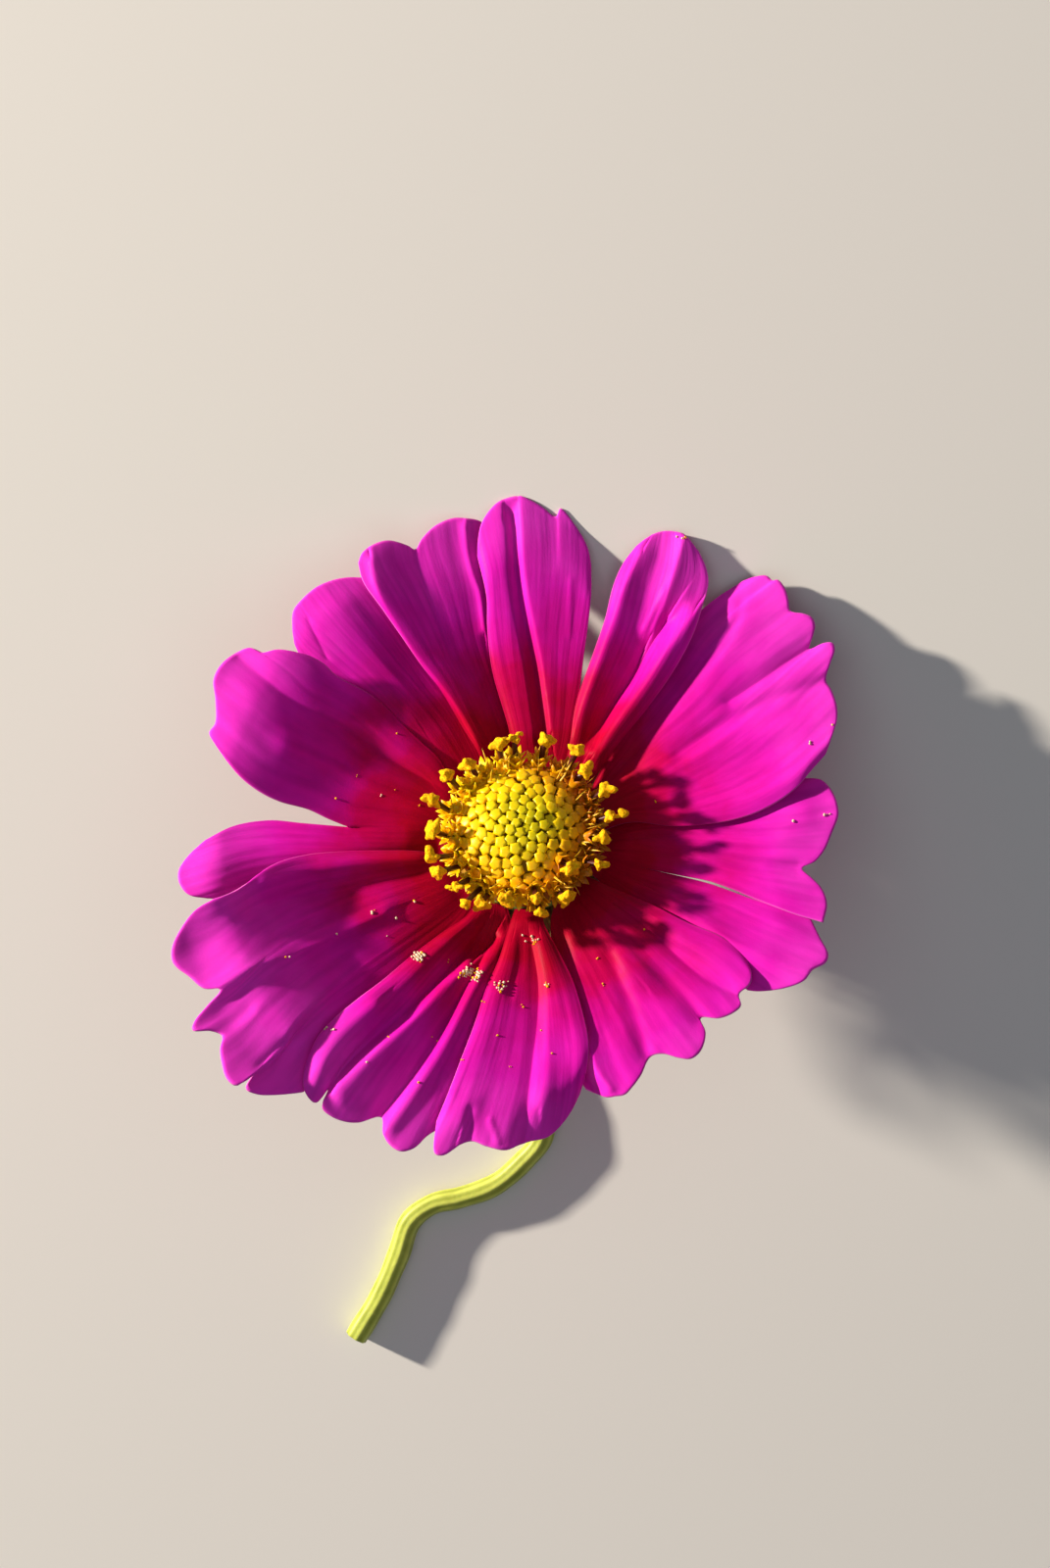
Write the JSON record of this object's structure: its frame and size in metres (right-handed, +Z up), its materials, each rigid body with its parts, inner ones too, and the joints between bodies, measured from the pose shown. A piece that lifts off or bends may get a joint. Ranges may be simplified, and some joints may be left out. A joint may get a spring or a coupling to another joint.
{
  "type": "cosmos flower",
  "caption": "Magenta cosmos flower head with a golden disc and a short cut stem, lying face up and tilted on a flat surface.",
  "frame": {"origin": "centre of the bounding box's bottom, on the surface that the flower lies on", "axes": "+Z up from the surface; +Y from the cut end of the stem towards the petals that touch the surface; +X to the right as seen from above"},
  "size_m": [0.067, 0.0904, 0.0394],
  "materials": {
    "petal": "satin",
    "closed_florets": "matte",
    "open_floret": "matte",
    "receptacle": "satin",
    "inner_bract": "satin",
    "outer_bract": "satin",
    "stem": "satin"
  },
  "bodies": {
    "root": {"petal_top": "petal", "petal_upper_right": "petal", "petal_right_broad": "petal", "petal_right_split": "petal", "petal_lower_right": "petal", "petal_bottom": "petal", "petal_bottom_left": "petal", "petal_lower_left": "petal", "petal_left_split": "petal", "petal_upper_left": "petal", "petal_top_left": "petal", "receptacle": "receptacle", "closed_florets": "closed_florets", "open_floret_01": "open_floret", "open_floret_02": "open_floret", "open_floret_03": "open_floret", "open_floret_04": "open_floret", "open_floret_05": "open_floret", "open_floret_06": "open_floret", "open_floret_07": "open_floret", "open_floret_08": "open_floret", "open_floret_09": "open_floret", "open_floret_10": "open_floret", "open_floret_11": "open_floret", "open_floret_12": "open_floret", "open_floret_13": "open_floret", "open_floret_14": "open_floret", "open_floret_15": "open_floret", "open_floret_16": "open_floret", "open_floret_17": "open_floret", "open_floret_18": "open_floret", "open_floret_19": "open_floret", "open_floret_20": "open_floret", "open_floret_21": "open_floret", "open_floret_22": "open_floret", "open_floret_23": "open_floret", "inner_bract_1": "inner_bract", "inner_bract_2": "inner_bract", "inner_bract_3": "inner_bract", "inner_bract_4": "inner_bract", "inner_bract_5": "inner_bract", "inner_bract_6": "inner_bract", "inner_bract_7": "inner_bract", "inner_bract_8": "inner_bract", "outer_bract_1": "outer_bract", "outer_bract_2": "outer_bract", "outer_bract_3": "outer_bract", "outer_bract_4": "outer_bract", "outer_bract_5": "outer_bract", "outer_bract_6": "outer_bract", "outer_bract_7": "outer_bract", "outer_bract_8": "outer_bract", "stem": "stem"}
  },
  "joints": []
}
